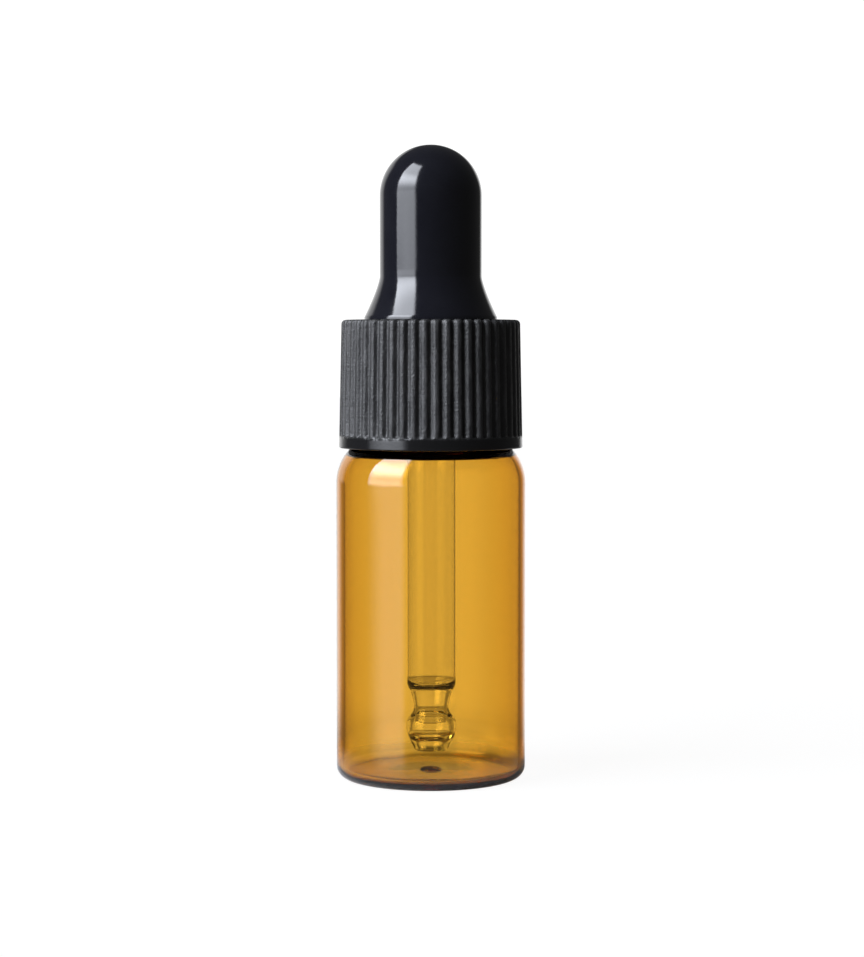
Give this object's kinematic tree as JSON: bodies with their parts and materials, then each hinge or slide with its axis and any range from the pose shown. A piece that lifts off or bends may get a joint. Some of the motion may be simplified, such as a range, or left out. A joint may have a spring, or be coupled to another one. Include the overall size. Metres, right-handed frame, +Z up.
{
  "type": "ink dropper bottle",
  "caption": "Round amber glass vial with a ribbed screw cap, a rubber squeeze bulb and a ball-tipped glass pipette that lifts out.",
  "frame": {"origin": "centre of the vial's foot, in the plane it stands on", "axes": "+Z up along the common axis of all five pieces, from the foot to the crown of the bulb; the piece is round, so +X and +Y are free"},
  "size_m": [0.022, 0.022, 0.0735],
  "materials": {
    "amber_glass": "clear amber glass, polished",
    "black_plastic": "satin moulded plastic",
    "black_rubber": "smooth, slightly glossy rubber",
    "clear_glass": "clear glass, polished",
    "natural_plastic": "milky uncoloured polyethylene"
  },
  "bodies": {
    "vial": {"glass_vial": "amber_glass"},
    "washer": {"sealing_washer": "natural_plastic"},
    "pipette": {"glass_pipette": "clear_glass"},
    "cap": {"screw_cap": "black_plastic"},
    "bulb": {"rubber_bulb": "black_rubber"}
  },
  "joints": [
    {"name": "dropper_lift", "type": "slide", "parent": "vial", "child": "washer", "axis": [0, 0, 1], "range_m": [0, 0.05]},
    {"name": "thread_rise", "type": "slide", "parent": "washer", "child": "pipette", "axis": [0, 0, 1], "range_m": [0, 0.0048]},
    {"name": "cap_turn", "type": "hinge", "parent": "pipette", "child": "cap", "pos_m": [0, 0, 0.0385], "axis": [0, 0, 1], "range_deg": [0, 540]},
    {"name": "bulb_press", "type": "slide", "parent": "pipette", "child": "bulb", "axis": [0, 0, -1], "range_m": [0, 0.003], "deforming": ["rubber_bulb"]}
  ],
  "couplings": [
    {"joint": "thread_rise", "follows": "cap_turn", "m_per_rad": 0.00050532}
  ]
}
